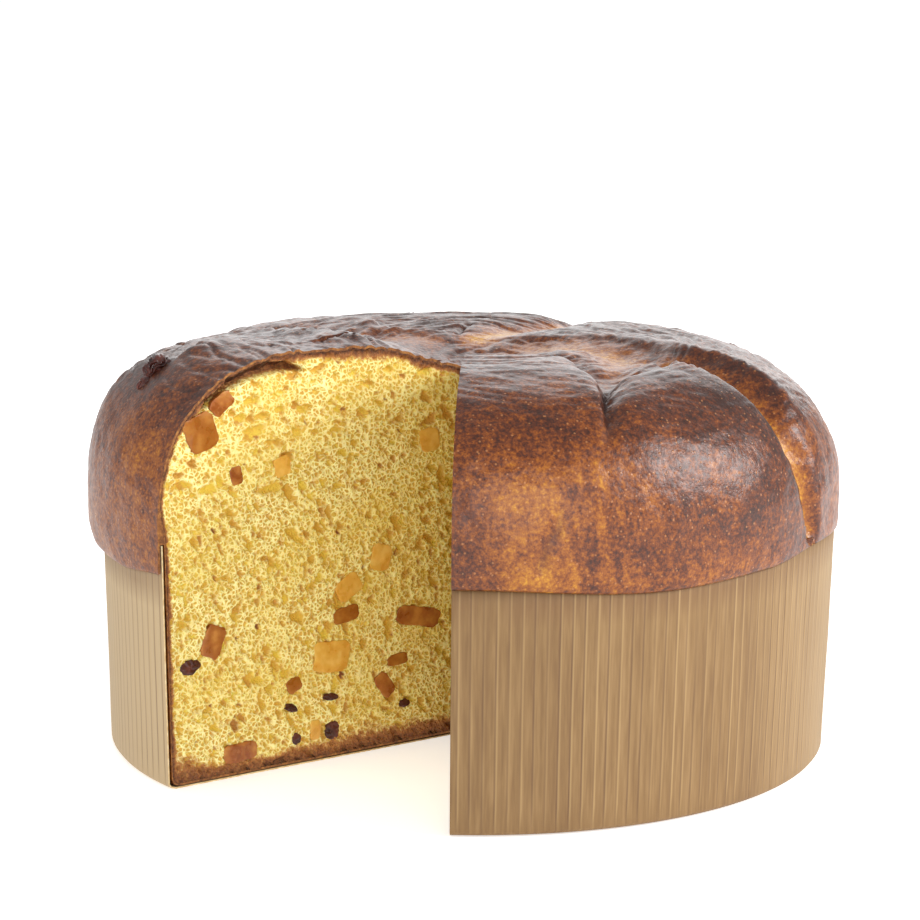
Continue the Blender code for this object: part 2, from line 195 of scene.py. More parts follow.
crust = {
    "columns": 470,
    "rows": 195,
    # on the crust laid out flat round the middle: x, y, half width, depth, how golden the stretched dough is
    "valleys": [
        [
            (20, 6, 11, 1.5, 0.7),
            (42, -13, 11, 5, 0.9),
            (60, -27, 7, 5.5, 0.6),
            (78, -43, 5, 5, 0.7),
            (92, -54, 4, 4.5, 1),
            (112, -60, 3.5, 4, 1),
            (126, -64, 3, 2, 1),
        ],
        [(42, -18, 12, 4.5, 0.8), (38, -40, 9, 5, 0.5), (35, -60, 4, 4, 0.1), (35, -90, 2, 0.5, 0)],
        [(4, 22, 10, 1, 1), (20, 42, 8, 3, 0.8), (46, 90, 5, 4, 0.7), (60, 118, 4, 1.5, 0.8)],
        [(-12, 16, 8, 1, 0.6), (-36, 18, 6, 3, 0.3), (-90, 46, 5, 4, 0.6), (-120, 60, 4, 1.5, 0.8)],
    ],
    # narrow creases: x, y, half width, depth
    "creases": [
        [(36, -58, 1.6, 0.5), (35, -66, 1.4, 3.6), (35, -80, 1.2, 3.2), (36, -93, 0.8, 0.4)],
        [(27, -111, 1.2, 0), (25, -121, 1.6, 0.9), (22, -131, 1.4, 0.5)],
        [(0, 44, 1.0, 0.4), (-2, 36, 1.2, 1.6), (-4, 27, 1.0, 0.8)],
        [(14, 36, 0.9, 0.3), (17, 31, 1.1, 1.4), (20, 27, 0.8, 0.5)],
    ],
    # edges of folded flaps: x, y, softness, and how far the crust steps up (or down) on the left of the path
    "ledges": [
        [(-58, -8, 1.5, 0.5), (-66, -16, 1.2, 3.0), (-72, -24, 1.2, 3.0), (-84, -30, 1.6, 1.2), (-92, -40, 2, 0)],
        [(-20, 6, 1.5, 0.5), (-33, -10, 1.2, 2.6), (-46, 6, 1.2, 2.8), (-59, 33, 1.6, 1.5), (-70, 50, 2, 0)],
        [(-33, -10, 1.2, 0.6), (-30, 12, 1.2, 1.8), (-25, 36, 1.2, 1.8), (-22, 58, 2, 0)],
        [(26, 13, 2, 0.5), (38, 9, 1.6, 1.6), (60, -14, 1.5, 2.0), (86, -41, 1.6, 1.6), (104, -46, 2, 0.4)],
        [(-4, 26, 1.2, 0.4), (-18, 26, 1.1, 1.6), (-30, 34, 1.4, 1.2), (-40, 46, 2, 0)],
        [(38, -62, 1, -1), (46, -48, 1.1, -2.5), (56, -39, 1.1, -3.5), (70, -48, 1.3, -3), (90, -63, 1.5, -2), (112, -67, 2, -1)],
        [(-8, -26, 1.5, -2), (8, -29, 1.1, -3.5), (20, -34, 1.1, -4), (29, -45, 1.1, -3), (34, -60, 1, -1)],
    ],
}


def crustRelief(x, y):
    # how far the crust stands out of the smooth dome, how golden it is, and how much painted shade it gets in creases,
    # below flap edges and in wrinkles
    relief, golden, crease = np.zeros(x.shape), np.zeros(x.shape), np.zeros(x.shape)
    wx = x + 2.5 * softNoise(x, y, 17, 3) + 0.8 * softNoise(x, y, 5, 5)
    wy = y + 2.5 * softNoise(x, y, 17, 4) + 0.8 * softNoise(x, y, 5, 6)
    for path in crust["valleys"]:
        distance, side, (width, depth, gold) = alongPath(wx, wy, path)
        relief = np.minimum(relief, -depth * bell(distance, width))
        golden = np.maximum(golden, gold * bell(distance, width * 0.75))
    for path in crust["creases"]:
        distance, side, (width, depth) = alongPath(x + 0.5 * softNoise(x, y, 3, 9), y, path)
        relief -= depth * bell(distance, width)
        # painted shade in the crease, darker the deeper the crease
        crease = np.maximum(crease, np.clip(depth / 2, 0, 1) * bell(distance, width * 0.8))
    for path in crust["ledges"]:
        distance, side, (soft, step) = alongPath(wx, wy, path)
        relief += step * (0.5 + 0.5 * np.tanh(side * distance / soft)) * bell(distance, 9)
        # painted shade on the low side of each flap edge
        crease = np.maximum(crease, 0.5 * np.clip(step / 2, 0, 1) * bell(distance + 0.6 * side, soft * 0.8))
    reach = np.hypot(x, y)
    azimuth = np.degrees(np.arctan2(y, x))
    relief += 1.1 * layeredNoise(x, y, 30, 11) * easeStep(reach / 30)
    top = easeStep((112 - reach) / 25)
    behind = easeStep((y + 62) / 25)
    wrinkled = top * (0.3 + 0.7 * behind) * (1 - 0.8 * golden)
    run, across = np.radians(azimuth) * (reach + 20), reach + 4 * softNoise(x, y, 16, 21)
    fold = np.abs(layeredNoise(run / 6, across, 3.4, 23, 2))
    relief += 0.9 * (np.minimum(fold, 0.4) * 2 - 0.4) * wrinkled
    # painted shade in the bottoms of the wrinkles
    crease = np.maximum(crease, 0.45 * wrinkled * (1 - easeStep(fold / 0.12)))
    relief += 0.2 * layeredNoise(x, y, 2.6, 31, 2)
    crease *= 1 - 0.7 * golden
    return relief, golden, crease


def planeBasis(face):
    # X away from the apex, Y out of the crumb, Z up
    turn = math.radians(loaf["cuts"][face])
    away = Vector((math.cos(turn), math.sin(turn), 0))
    out = Vector((-away.y, away.x, 0)) if face == "left" else Vector((away.y, -away.x, 0))
    return away, out


sunkRaisins = []  # where the crust lies flat round a raisin
for name in sorted(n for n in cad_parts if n.startswith("crust_raisin")):
    lowest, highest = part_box(name)
    sunkRaisins.append(((lowest[0] + highest[0]) / 2 / mm, (lowest[1] + highest[1]) / 2 / mm))


def crustSurface(direction, part, run):
    # places on the finished crust for columns given by direction from the apex and rows by part
    azimuth = direction + 0 * part
    for _ in range(3):
        radius, height = domeProfile(part, azimuth)
        ahead, above = domeProfile(part + 0.004, azimuth)
        behind, below = domeProfile(part - 0.004, azimuth)
        tx, tz = ahead - behind, above - below
        size = np.maximum(np.hypot(tx, tz), 1e-9)
        flat = np.radians(azimuth)
        relief, golden, crease = crustRelief(run * np.cos(flat), run * np.sin(flat))
        relief = relief * easeStep((3 - part) / 0.45) * easeStep(run / 6)
        for rx, ry in sunkRaisins:
            relief = relief * (1 - bell(np.hypot(radius * np.cos(flat) - rx, radius * np.sin(flat) - ry), 8))
        radius = np.maximum(radius - tz / size * relief, 2.2)
        height = height + tx / size * relief
        x, y = fromApex(direction, radius)
        azimuth = np.degrees(np.arctan2(y, x))
    return x, y, height, golden, crease


def caseSlot(direction):
    # the loaf's hidden outline: up behind the lip, over the paper's rim, down inside the case, in to the middle
    foot = easedRound(direction)[1]
    slotTop = case["height"] + 0.3
    clear = case["pleatDepth"] + case["paper"] + 0.35
    steps = [
        (caseRadius(foot) + 0.35, foot + 0.6),
        (caseRadius(slotTop) + 0.35 + 0 * foot, slotTop + 0 * foot),
        (caseRadius(slotTop) - clear + 0 * foot, slotTop + 0 * foot),
        (caseRadius(3.0) - clear + 0 * foot, 3.0 + 0 * foot),
        (caseRadius(1.4) - clear - 0.6 + 0 * foot, 1.4 + 0 * foot),
        (caseRadius(0.8) - clear - 2.2 + 0 * foot, 0.8 + 0 * foot),
        (2.4 + 0 * foot, 0.8 + 0 * foot),
    ]
    return steps


def gridMesh(name, columns, rows):
    # a flat grid whose vertices' own places say which column and row they are in
    build = bmesh.new()
    bmesh.ops.create_grid(build, x_segments=columns - 1, y_segments=rows - 1, size=1)
    mesh = bpy.data.meshes.new(name)
    build.to_mesh(mesh)
    build.free()
    places = np.empty(len(mesh.vertices) * 3)
    mesh.vertices.foreach_get("co", places)
    places = places.reshape(-1, 3)
    column = np.rint((places[:, 0] + 1) / 2 * (columns - 1)).astype(int)
    row = np.rint((places[:, 1] + 1) / 2 * (rows - 1)).astype(int)
    return mesh, column, row


def setPlaces(mesh, x, y, z):
    mesh.vertices.foreach_set("co", (np.stack([x, y, z], 1) * mm).ravel().astype(np.float32))
    mesh.update()


def setValues(mesh, name, values):
    layer = mesh.attributes.new(name, "FLOAT", "POINT")
    layer.data.foreach_set("value", np.ascontiguousarray(values, np.float32))


def addPiece(mesh, materials, replaced=()):
    piece = bpy.data.objects.new(mesh.name, mesh)
    bpy.context.scene.collection.objects.link(piece)
    for material in materials:
        mesh.materials.append(material)
    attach(piece, "root")
    if replaced:
        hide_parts(*replaced)
    return piece


def outwards(build):
    # turns each face the way its neighbours point, and then all of them out of the shape
    start = next(iter(build.faces))
    turned, waiting = {start}, [start]
    while waiting:
        item = waiting.pop()
        for corner in item.loops:
            beside = corner.link_loop_radial_next
            if beside.face in turned:
                continue
            if beside.vert == corner.vert:
                beside.face.normal_flip()
            turned.add(beside.face)
            waiting.append(beside.face)
    if build.calc_volume(signed=True) < 0:
        bmesh.ops.reverse_faces(build, faces=build.faces[:])
    build.normal_update()


# ---- materials

def linearColour(code):
    channels = [int(code[i : i + 2], 16) / 255 for i in (0, 2, 4)]
    return [c / 12.92 if c <= 0.04045 else ((c + 0.055) / 1.055) ** 2.4 for c in channels] + [1]


def newMaterial(name):
    material = bpy.data.materials.new(name)
    material.use_nodes = True
    material.node_tree.nodes.clear()
    return material, material.node_tree


def addNode(tree, kind, values={}, links={}, **settings):
    node = tree.nodes.new("ShaderNode" + kind)
    for key, value in settings.items():
        setattr(node, key, value)
    for key, value in values.items():
        node.inputs[key].default_value = value
    for key, source in links.items():
        tree.links.new(source, node.inputs[key])
    return node


def colourRamp(tree, factor, stops):
    ramp = addNode(tree, "ValToRGB", links={0: factor})
    ramp.color_ramp.elements.remove(ramp.color_ramp.elements[1])
    for i, (position, code) in enumerate(stops):
        stop = ramp.color_ramp.elements[0] if i == 0 else ramp.color_ramp.elements.new(position)
        stop.position = position
        stop.color = linearColour(code)
    return ramp.outputs[0]


def finishMaterial(tree, values, links):
    shader = addNode(tree, "BsdfPrincipled", values, links)
    addNode(tree, "OutputMaterial", links={0: shader.outputs[0]})


def bakedCrust():
    # egg dough baked to a satin skin: golden where it stretched, red-brown flecks and pale blisters where it browned,
    # and painted shade in the creases
    material, tree = newMaterial("bakedCrust")
    place = addNode(tree, "TexCoord").outputs["Object"]
    bake = addNode(tree, "Attribute", attribute_name="bake").outputs["Fac"]
    crease = addNode(tree, "Attribute", attribute_name="crease").outputs["Fac"]
    broad = addNode(tree, "TexNoise", {"Scale": 60, "Detail": 4, "Roughness": 0.6}, {0: place}).outputs[0]
    flecks = addNode(tree, "TexNoise", {"Scale": 950, "Detail": 3, "Roughness": 0.7}, {0: place}).outputs[0]
    mottle = addNode(tree, "TexNoise", {"Scale": 300, "Detail": 2, "Roughness": 0.6}, {0: place}).outputs[0]
    sum1 = addNode(tree, "Math", {1: 0.5}, {0: broad}, operation="MULTIPLY").outputs[0]
    sum2 = addNode(tree, "Math", {1: 1.25}, {0: flecks, 2: sum1}, operation="MULTIPLY_ADD").outputs[0]
    sum3 = addNode(tree, "Math", {1: 0.6}, {0: mottle, 2: sum2}, operation="MULTIPLY_ADD").outputs[0]
    sum4 = addNode(tree, "Math", {1: -1.175}, {0: sum3}, operation="ADD").outputs[0]
    toned = addNode(tree, "Math", links={0: bake, 1: sum4}, operation="ADD").outputs[0]
    baked = colourRamp(tree, toned, [
        (0.0, "cb9728"), (0.22, "b0731c"), (0.42, "955616"), (0.6, "7c4012"), (0.78, "58280f"), (1.0, "34170c")
    ])
    blister = addNode(tree, "TexVoronoi", {"Scale": 520, "Randomness": 1}, {0: place}).outputs["Distance"]
    dots = addNode(tree, "MapRange", {1: 0.1, 2: 0.2, 3: 0.5, 4: 0}, {0: blister}).outputs[0]
    dotted = addNode(tree, "Mix", {7: linearColour("bb7f4c")}, {0: dots, 6: baked}, data_type="RGBA").outputs[2]
    # painted shade: near black in creases, below flap edges and in wrinkles, less in the golden valleys
    creaseShaded = addNode(tree, "Mix", {7: linearColour("32140d")}, {0: crease, 6: dotted}, data_type="RGBA").outputs[2]
    skin = addNode(tree, "TexNoise", {"Scale": 700, "Detail": 3, "Roughness": 0.6}, {0: place}).outputs[0]
    rough = addNode(tree, "MapRange", {1: 0.3, 2: 0.7, 3: 0.27, 4: 0.42}, {0: skin}).outputs[0]
    bump1 = addNode(tree, "Bump", {"Strength": 0.35, "Distance": 0.0005}, {"Height": skin}).outputs[0]
    bump2 = addNode(tree, "Bump", {"Strength": 0.25, "Distance": 0.0004}, {"Height": dots, "Normal": bump1}).outputs[0]
    finishMaterial(
        tree,
        {"IOR": 1.45, "Specular IOR Level": 0.55},
        {"Base Color": creaseShaded, "Roughness": rough, "Normal": bump2},
    )
    return material


def crustSection():
    # the skin seen end on: dry, porous and brown, paler inwards
    material, tree = newMaterial("crustSection")
    place = addNode(tree, "TexCoord").outputs["Object"]
    grain = addNode(tree, "TexNoise", {"Scale": 700, "Detail": 3, "Roughness": 0.7}, {0: place}).outputs[0]
    colour = colourRamp(tree, grain, [(0.3, "53301a"), (0.5, "855228"), (0.7, "aa7439")])
    bump = addNode(tree, "Bump", {"Strength": 0.6, "Distance": 0.0006}, {"Height": grain}).outputs[0]
    finishMaterial(tree, {"Roughness": 0.8}, {"Base Color": colour, "Normal": bump})
    return material


def openCrumb():
    # yellow egg crumb: pale dry walls, golden moist pores, browned next to the crust
    material, tree = newMaterial("openCrumb")
    place = addNode(tree, "TexCoord").outputs["Object"]
    pore = addNode(tree, "Attribute", attribute_name="pore").outputs["Fac"]
    warm = addNode(tree, "Attribute", attribute_name="warm").outputs["Fac"]
    bake = addNode(tree, "Attribute", attribute_name="bake").outputs["Fac"]
    broad = addNode(tree, "TexNoise", {"Scale": 55, "Detail": 3}, {0: place}).outputs[0]
    grain = addNode(tree, "TexNoise", {"Scale": 900, "Detail": 3, "Roughness": 0.7}, {0: place}).outputs[0]
    swirl = addNode(tree, "TexNoise", {"Scale": 500, "Detail": 2}, {0: place}).outputs["Color"]
    bent = addNode(tree, "MixRGB", {0: 0.0012, 1: (0, 0, 0, 1)}, {2: swirl}, blend_type="MIX").outputs[0]
    shifted = addNode(tree, "VectorMath", {}, {0: place, 1: bent}, operation="ADD").outputs[0]
    cells = addNode(tree, "TexVoronoi", {"Scale": 780}, {0: shifted}, feature="DISTANCE_TO_EDGE").outputs["Distance"]
    tiny = addNode(tree, "MapRange", {1: 0.05, 2: 0.3, 3: 0, 4: 1}, {0: cells}).outputs[0]
    open1 = addNode(tree, "Math", {1: 0.9}, {0: grain, 2: tiny}, operation="MULTIPLY_ADD").outputs[0]
    walls = colourRamp(tree, open1, [(0.4, "f8eeae"), (0.7, "f0e08c"), (1.05, "e5cc64"), (1.35, "cca03e")])
    tinted = addNode(tree, "Mix", {7: linearColour("e6c850")}, {6: walls}, data_type="RGBA")
    tint = addNode(tree, "MapRange", {1: 0.4, 2: 0.65, 3: 0, 4: 0.4}, {0: broad}).outputs[0]
    tree.links.new(tint, tinted.inputs[0])
    hollow = colourRamp(tree, warm, [(0.0, "e0c046"), (0.45, "d0a138"), (0.8, "c08838"), (1.0, "84491f")])
    porous = addNode(tree, "Mix", {}, {0: pore, 6: tinted.outputs[2], 7: hollow}, data_type="RGBA").outputs[2]
    toneShift = addNode(tree, "Math", {1: 0.9, 2: -0.45}, {0: grain}, operation="MULTIPLY_ADD").outputs[0]
    scorch = addNode(tree, "Math", {}, {0: bake, 1: toneShift}, operation="ADD").outputs[0]
    brown = colourRamp(tree, scorch, [(0.2, "cf9d50"), (0.5, "ab7138"), (0.8, "7c4924"), (1.0, "512d19")])
    browned = addNode(tree, "MapRange", {1: 0.15, 2: 0.5, 3: 0, 4: 1}, {0: scorch}).outputs[0]
    colour = addNode(tree, "Mix", {}, {0: browned, 6: porous, 7: brown}, data_type="RGBA").outputs[2]
    grit = addNode(tree, "Bump", {"Strength": 0.4, "Distance": 0.0004}, {"Height": grain}).outputs[0]
    bump = addNode(tree, "Bump", {"Strength": 0.5, "Distance": 0.0005}, {"Height": tiny, "Normal": grit}, invert=True).outputs[0]
    finishMaterial(
        tree,
        {"Roughness": 0.75, "Subsurface Weight": 0.15, "Subsurface Scale": 0.002},
        {"Base Color": colour, "Normal": bump},
    )
    return material


def bakingPaper():
    # brown greaseproof paper creased into fine pleats: matt, with vertical fibres; painted shade along each fold, a
    # painted highlight beside it, painted light from the right end round to the left side and painted shade under the
    # crust's lip
    material, tree = newMaterial("bakingPaper")
    place = addNode(tree, "TexCoord").outputs["Object"]
    fold = addNode(tree, "Attribute", attribute_name="fold").outputs["Fac"]
    glow = addNode(tree, "Attribute", attribute_name="glow").outputs["Fac"]
    pale = addNode(tree, "Attribute", attribute_name="pale").outputs["Fac"]
    stain = addNode(tree, "Attribute", attribute_name="stain").outputs["Fac"]
    drawn = addNode(tree, "Mapping", {"Scale": (1, 1, 0.05)}, {0: place}).outputs[0]
    fibres = addNode(tree, "TexNoise", {"Scale": 900, "Detail": 3, "Roughness": 0.6}, {0: drawn}).outputs[0]
    stains = addNode(tree, "TexNoise", {"Scale": 60, "Detail": 3}, {0: drawn}).outputs[0]
    mixed = addNode(tree, "Math", {1: 0.6}, {0: stains, 2: fibres}, operation="MULTIPLY_ADD").outputs[0]
    paper = colourRamp(tree, mixed, [(0.6, "74552f"), (0.8, "806138"), (1.0, "8c6d44")])
    # painted light: paler paper from the right end round to the left, palest on the left side
    sideLitPaper = addNode(tree, "Mix", {7: linearColour("b79e78")}, {0: pale, 6: paper}, data_type="RGBA").outputs[2]
    # painted shade: darker paper just under the crust's lip
    lipShaded = addNode(tree, "Mix", {7: linearColour("6b4828")}, {0: stain, 6: sideLitPaper}, data_type="RGBA").outputs[2]
    # painted highlight: a light line beside each fold
    ridgeHighlighted = addNode(tree, "Mix", {7: linearColour("aa8b5c")}, {0: glow, 6: lipShaded}, data_type="RGBA").outputs[2]
    # painted shade: a dark line along each fold
    folded = addNode(tree, "Mix", {7: linearColour("4e2e1a")}, {0: fold, 6: ridgeHighlighted}, data_type="RGBA").outputs[2]
    bump = addNode(tree, "Bump", {"Strength": 0.15, "Distance": 0.0003}, {"Height": fibres}).outputs[0]
    finishMaterial(tree, {"Roughness": 0.62}, {"Base Color": folded, "Normal": bump})
    return material


def paperEdge():
    # where the knife went through the paper: a pale cut line
    material, tree = newMaterial("paperEdge")
    place = addNode(tree, "TexCoord").outputs["Object"]
    fibres = addNode(tree, "TexNoise", {"Scale": 500}, {0: place}).outputs[0]
    colour = colourRamp(tree, fibres, [(0.35, "cfae7a"), (0.65, "ecd6a8")])
    finishMaterial(tree, {"Roughness": 0.8}, {"Base Color": colour})
    return material


def candied(name, dark, middle, light):
    # fruit boiled in sugar: clear, moist and softly glossy, darker where it is thick
    material, tree = newMaterial(name)
    place = addNode(tree, "TexCoord").outputs["Object"]
    cloud = addNode(tree, "TexNoise", {"Scale": 260, "Detail": 3}, {0: place}).outputs[0]
    colour = colourRamp(tree, cloud, [(0.32, dark), (0.5, middle), (0.68, light)])
    rough = addNode(tree, "MapRange", {1: 0.3, 2: 0.7, 3: 0.22, 4: 0.42}, {0: cloud}).outputs[0]
    bump = addNode(tree, "Bump", {"Strength": 0.12, "Distance": 0.0005}, {"Height": cloud}).outputs[0]
    finishMaterial(
        tree,
        {"IOR": 1.45, "Subsurface Weight": 0.2, "Subsurface Scale": 0.002},
        {"Base Color": colour, "Roughness": rough, "Normal": bump},
    )
    return material


crustLook, sectionLook, crumbLook = bakedCrust(), crustSection(), openCrumb()
paperLook, paperEdgeLook = bakingPaper(), paperEdge()
fruitLooks = {
    "candied_orange": candied("candiedOrange", "8a4c14", "98591a", "aa6f2a"),
    "candied_citron": candied("candiedCitron", "cc943a", "d8a445", "e2b75e"),
    "candied_peel": candied("candiedPeel", "85441b", "9f5e28", "b87c38"),
    "raisin": candied("raisinSkin", "331511", "4a2018", "673224"),
}
print("materials made")

# ---- crust and the loaf behind the cut faces


def buildCrust():
    columns, rows = crust["columns"], crust["rows"]
    directions = np.linspace(loaf["cuts"]["right"], loaf["cuts"]["left"], columns)
    parts, runs = evenParts(rows)
    hidden = caseSlot(directions)
    mesh, column, row = gridMesh("crust", columns, rows + len(hidden))
    grid = [np.zeros((columns, rows + len(hidden))) for _ in range(5)]
    x, y, z, golden, crease = crustSurface(directions[:, None], parts[None, :], runs[None, :])
    for store, values in zip(grid, (x, y, z, golden, crease)):
        store[:, :rows] = values
    for i, (radius, height) in enumerate(hidden):
        grid[0][:, rows + i], grid[1][:, rows + i] = fromApex(directions, radius)
        grid[2][:, rows + i] = height
    x, y, z, golden, crease = [store[column, row] for store in grid]
    setPlaces(mesh, x, y, z)
    low = easeStep((88 - z) / 22)
    patches = layeredNoise(x + 40, y + z, 26, 41)
    azimuth = np.degrees(np.arctan2(y, x))
    footGold = bell(azimuth + 80.3, 4) * bell(z - 72, 6) + 0.5 * bell(azimuth + 45, 9) * bell(z - 71, 5)
    footGold += 0.45 * bell(azimuth + 80, 12) * bell(z - 88, 12)
    streaks = np.clip(softNoise(azimuth * 1.1 + 0.12 * z, z / 14, 1, 45), 0, 1) * bell(azimuth + 72, 9) * easeStep((104 - z) / 6)
    lobe = bell(azimuth + 32, 24) * bell(z - 98, 18)
    bake = 0.68 + 0.16 * easeStep((z - 98) / 12) - 0.04 * low + 0.17 * patches + 0.16 * lobe
    bake = bake * (1 - 0.8 * golden) - 0.3 * footGold - 0.3 * streaks
    setValues(mesh, "bake", np.clip(bake, 0, 1))
    setValues(mesh, "crease", crease)
    return mesh, grid


def withinLine(u, z, line):
    # whether a point of a cut face lies within a closed line on it
    crossings = 0
    for (u1, z1), (u2, z2) in zip(line, line[1:] + line[:1]):
        if (z1 > z) != (z2 > z) and u < u1 + (z - z1) / (z2 - z1) * (u2 - u1):
            crossings += 1
    return crossings % 2 == 1


def addSection(build, face, loop, crumbLine):
    # the cut face: a flat ring of crust round a tray that the crumb sits in
    away, out = planeBasis(face)
    apex = Vector((*loaf["apex"], 0))
    inner = [build.verts.new((apex + away * u + Vector((0, 0, z))) * mm) for u, z in crumbLine]
    rim = [build.edges.new((inner[i - 1], inner[i])) for i in range(len(inner))]
    filled = bmesh.ops.triangle_fill(build, use_beauty=True, use_dissolve=False, edges=loop + rim)
    faces, within = [], []
    for item in filled["geom"]:
        if isinstance(item, bmesh.types.BMFace):
            centre = item.calc_center_median() / mm - apex
            (within if withinLine(centre.dot(away), centre.z, crumbLine) else faces).append(item)
    bmesh.ops.delete(build, geom=within, context="FACES")
    tray = bmesh.ops.extrude_edge_only(build, edges=rim)["geom"]
    sunk = [item for item in tray if isinstance(item, bmesh.types.BMVert)]
    middle = (apex + away * 52 + Vector((0, 0, 58))) * mm
    for vert in sunk:
        vert.co = middle + (vert.co - middle) * 0.93 - out * 9 * mm
    back = bmesh.ops.contextual_create(build, geom=[e for e in tray if isinstance(e, bmesh.types.BMEdge) and e.is_boundary])
    faces += [item for item in tray if isinstance(item, bmesh.types.BMFace)] + back["faces"]
    for item in faces:
        item.material_index = 1
        item.smooth = False
        for edge in item.edges:
            edge.smooth = False


def reachFromApex(face, radius):
    # how far from the apex a cut face reaches at that distance from the loaf's axis
    away, out = planeBasis(face)
    ax, ay = loaf["apex"]
    along = ax * away.x + ay * away.y
    return -along + np.sqrt(along**2 - ax**2 - ay**2 + radius**2)


def crumbOutline(face, profile):
    # the crumb's outline inside the crust: bottom, side and top as rows of (from the apex, height)
    u, z = profile
    rows = crust["rows"]
    inset = 0.7
    domeU, domeZ = u[:rows], z[:rows]
    tangentU, tangentZ = np.gradient(domeU), np.gradient(domeZ)
    size = np.maximum(np.hypot(tangentU, tangentZ), 1e-9)
    topU, topZ = domeU + tangentZ / size * inset, domeZ - tangentU / size * inset
    corner = int(np.argmin(np.abs(np.degrees(np.arctan2(-tangentZ, tangentU))[rows // 3 : rows - 8] - 48))) + rows // 3
    keep = topU[: corner + 1] > 0.6
    top = np.stack([topU[: corner + 1][keep], topZ[: corner + 1][keep]], 1)
    top = np.concatenate([[[0.2, top[0, 1]]], top])
    sideHeights = np.linspace(1.6, topZ[corner], 260)
    order = np.argsort(topZ[corner : rows - 6])
    domeSide = np.interp(sideHeights, topZ[corner : rows - 6][order], topU[corner : rows - 6][order])
    clear = case["pleatDepth"] + case["paper"] + 0.35
    caseSide = reachFromApex(face, caseRadius(sideHeights) - clear - 0.35 - 1.2 * bell(sideHeights - 1.2, 1.2))
    share = easeStep((sideHeights - 71) / 12)
    side = np.stack([caseSide * (1 - share) + domeSide * share, sideHeights], 1)
    bottomU = np.linspace(0.2, side[0, 0], 200)
    bottom = np.stack([bottomU, np.full_like(bottomU, 1.4)], 1)
    side[0] = bottom[-1]
    return bottom, side, top


def resample(line, count):
    steps = np.concatenate([[0], np.cumsum(np.hypot(*np.diff(line, axis=0).T))])
    wanted = np.linspace(0, steps[-1], count)
    return np.stack([np.interp(wanted, steps, line[:, 0]), np.interp(wanted, steps, line[:, 1])], 1)


crustMesh, crustGrid = buildCrust()
outlines = {}
for face, end in (("right", 0), ("left", -1)):
    u = np.hypot(crustGrid[0][end] - loaf["apex"][0], crustGrid[1][end] - loaf["apex"][1])
    outlines[face] = crumbOutline(face, (u, crustGrid[2][end]))


def closeCrust(mesh):
    build = bmesh.new()
    build.from_mesh(mesh)
    for item in build.faces:
        item.smooth = True
    ends = {"right": [], "left": []}
    ends["top"], ends["bottom"] = [], []
    for edge in build.edges:
        if not edge.is_boundary:
            continue
        middle = (edge.verts[0].co + edge.verts[1].co) / 2 / mm
        if middle.xy.length < 6 and edge.calc_length() < 1.2 * mm and abs(edge.verts[0].co.z - edge.verts[1].co.z) < 0.4 * mm \
                and abs(edge.verts[0].co.xy.length - edge.verts[1].co.xy.length) < 0.2 * mm:
            ends["top" if middle.z > 50 else "bottom"].append(edge)
    for key in ("top", "bottom"):
        ring = {v for e in ends[key] for v in e.verts}
        height = sum(v.co.z for v in ring) / len(ring)
        hub = build.verts.new((loaf["apex"][0] * mm, loaf["apex"][1] * mm, height))
        for edge in ends[key]:
            item = build.faces.new((*edge.verts, hub))
            item.smooth = True
        ends[key] = hub
    spine = build.edges.new((ends["top"], ends["bottom"]))
    for face in ("right", "left"):
        away, out = planeBasis(face)
        apex = Vector((*loaf["apex"], 0)) * mm
        for edge in build.edges:
            if edge.is_boundary and all(abs((v.co - apex).dot(out)) < 1e-5 for v in edge.verts) \
                    and all((v.co - apex).dot(away) > -1e-5 for v in edge.verts):
                ends[face].append(edge)
    for face in ("right", "left"):
        bottom, side, top = outlines[face]
        line = np.concatenate([bottom[::6], side[::3], top[::-1][1:]])
        addSection(build, face, ends[face] + [spine], [tuple(p) for p in line])
    outwards(build)
    build.to_mesh(mesh)
    build.free()


closeCrust(crustMesh)
addPiece(crustMesh, [crustLook, sectionLook], ["loaf"])
print("crust made:", len(crustMesh.polygons), "faces")

# ---- crumb on the two cut faces

crumb = {
    "columns": 250,
    "rows": 270,
    "cell": 0.2,  # of the height map that the pores are pressed into
    "depth": 8.0,  # of the slab behind the cut face
    # count, smallest radius, largest radius, depth as a share of the radius
    "pores": [(9000, 0.3, 0.6, 0.7), (2600, 0.45, 1.0, 0.8), (420, 0.9, 1.7, 0.8), (40, 1.6, 2.6, 0.7)],
}


def cutNodes(face):
    # the CAD's pieces that lie on this cut face, each with its outline on it
    away, out = planeBasis(face)
    apex = Vector((*loaf["apex"], 0)) * mm
    found = {}
    for name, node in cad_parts.items():
        if name in ("loaf", "paper_case") or name.startswith("crust_"):
            continue
        points = [v.co - apex for v in node.data.vertices]
        flush = [(p.dot(away) / mm, p.z / mm) for p in points if abs(p.dot(out)) < 2e-5]
        if len(flush) >= 4 and min(p.dot(away) for p in points) > 0:
            found[name] = np.unique(np.round(flush, 3), axis=0)
    return found


def outlineRadius(points, centre, angles):
    # distance from the centre to a convex outline in each direction
    turns = np.arctan2(points[:, 1] - centre[1], points[:, 0] - centre[0])
    ring = points[np.argsort(turns)] - centre
    best = np.full(angles.shape, 1e9)
    dx, dy = np.cos(angles), np.sin(angles)
    for a, b in zip(ring, np.roll(ring, -1, 0)):
        ex, ey = b - a
        cross = dx * ey - dy * ex
        with np.errstate(divide="ignore", invalid="ignore"):
            reach = (a[0] * ey - a[1] * ex) / cross
            along = (a[0] * dy - a[1] * dx) / cross
        hit = (reach > 0) & (along >= -1e-6) & (along <= 1 + 1e-6)
        best = np.where(hit, np.minimum(best, reach), best)
    return best


